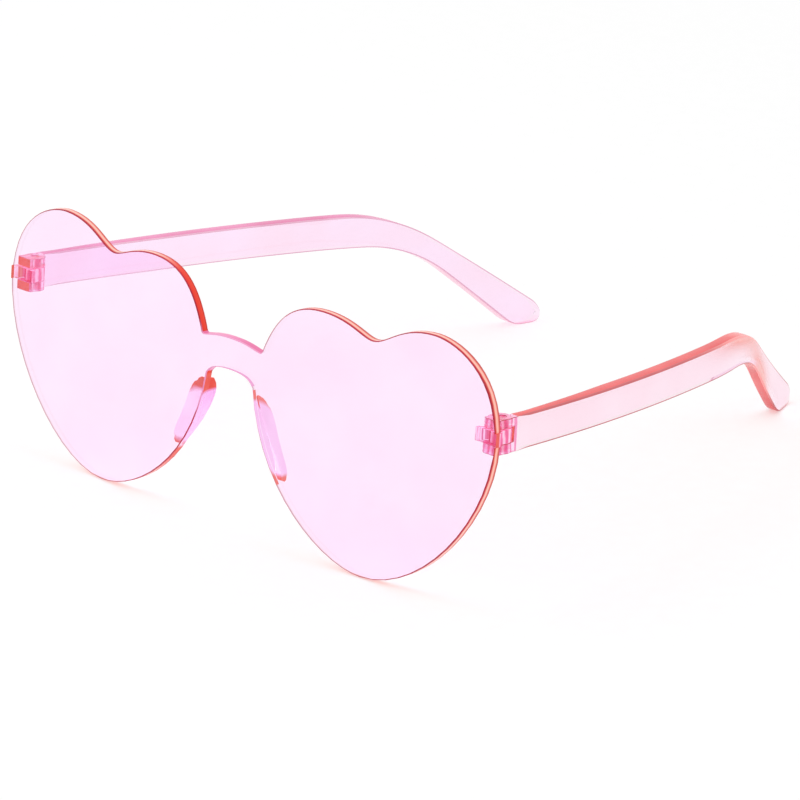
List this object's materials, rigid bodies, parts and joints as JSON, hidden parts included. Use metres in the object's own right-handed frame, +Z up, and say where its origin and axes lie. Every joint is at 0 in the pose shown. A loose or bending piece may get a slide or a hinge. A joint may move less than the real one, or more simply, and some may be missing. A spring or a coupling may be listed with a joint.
{
  "type": "heart shaped sunglasses",
  "caption": "Rimless sunglasses with heart shaped lenses moulded in one plate with the bridge, nose pads and hinge knuckles, and folding temples with angular drop ends.",
  "frame": {"origin": "middle of the footprint on the table, at the height of the table top the glasses stand on", "axes": "+X to the wearer's left, +Y back to the ears, +Z up; open glasses standing on both heart tips and both temple tips"},
  "size_m": [0.1486, 0.1426, 0.0578],
  "materials": {
    "lens_plastic": "clear pink, polished",
    "temple_plastic": "clear pink, polished",
    "pin_plastic": "clear pink, polished"
  },
  "bodies": {
    "front": {"front": "lens_plastic"},
    "left_temple": {"left_temple": "temple_plastic", "left_hinge_pin": "pin_plastic"},
    "right_temple": {"right_temple": "temple_plastic", "right_hinge_pin": "pin_plastic"}
  },
  "joints": [
    {"name": "left_temple_fold", "type": "hinge", "parent": "front", "child": "left_temple", "pos_m": [0.071, -0.06025, 0.03868], "axis": [0, 0.0924, 0.9957], "range_deg": [0, 76]},
    {"name": "right_temple_fold", "type": "hinge", "parent": "front", "child": "right_temple", "pos_m": [-0.071, -0.06025, 0.03868], "axis": [0, -0.0924, -0.9957], "range_deg": [0, 67]}
  ]
}
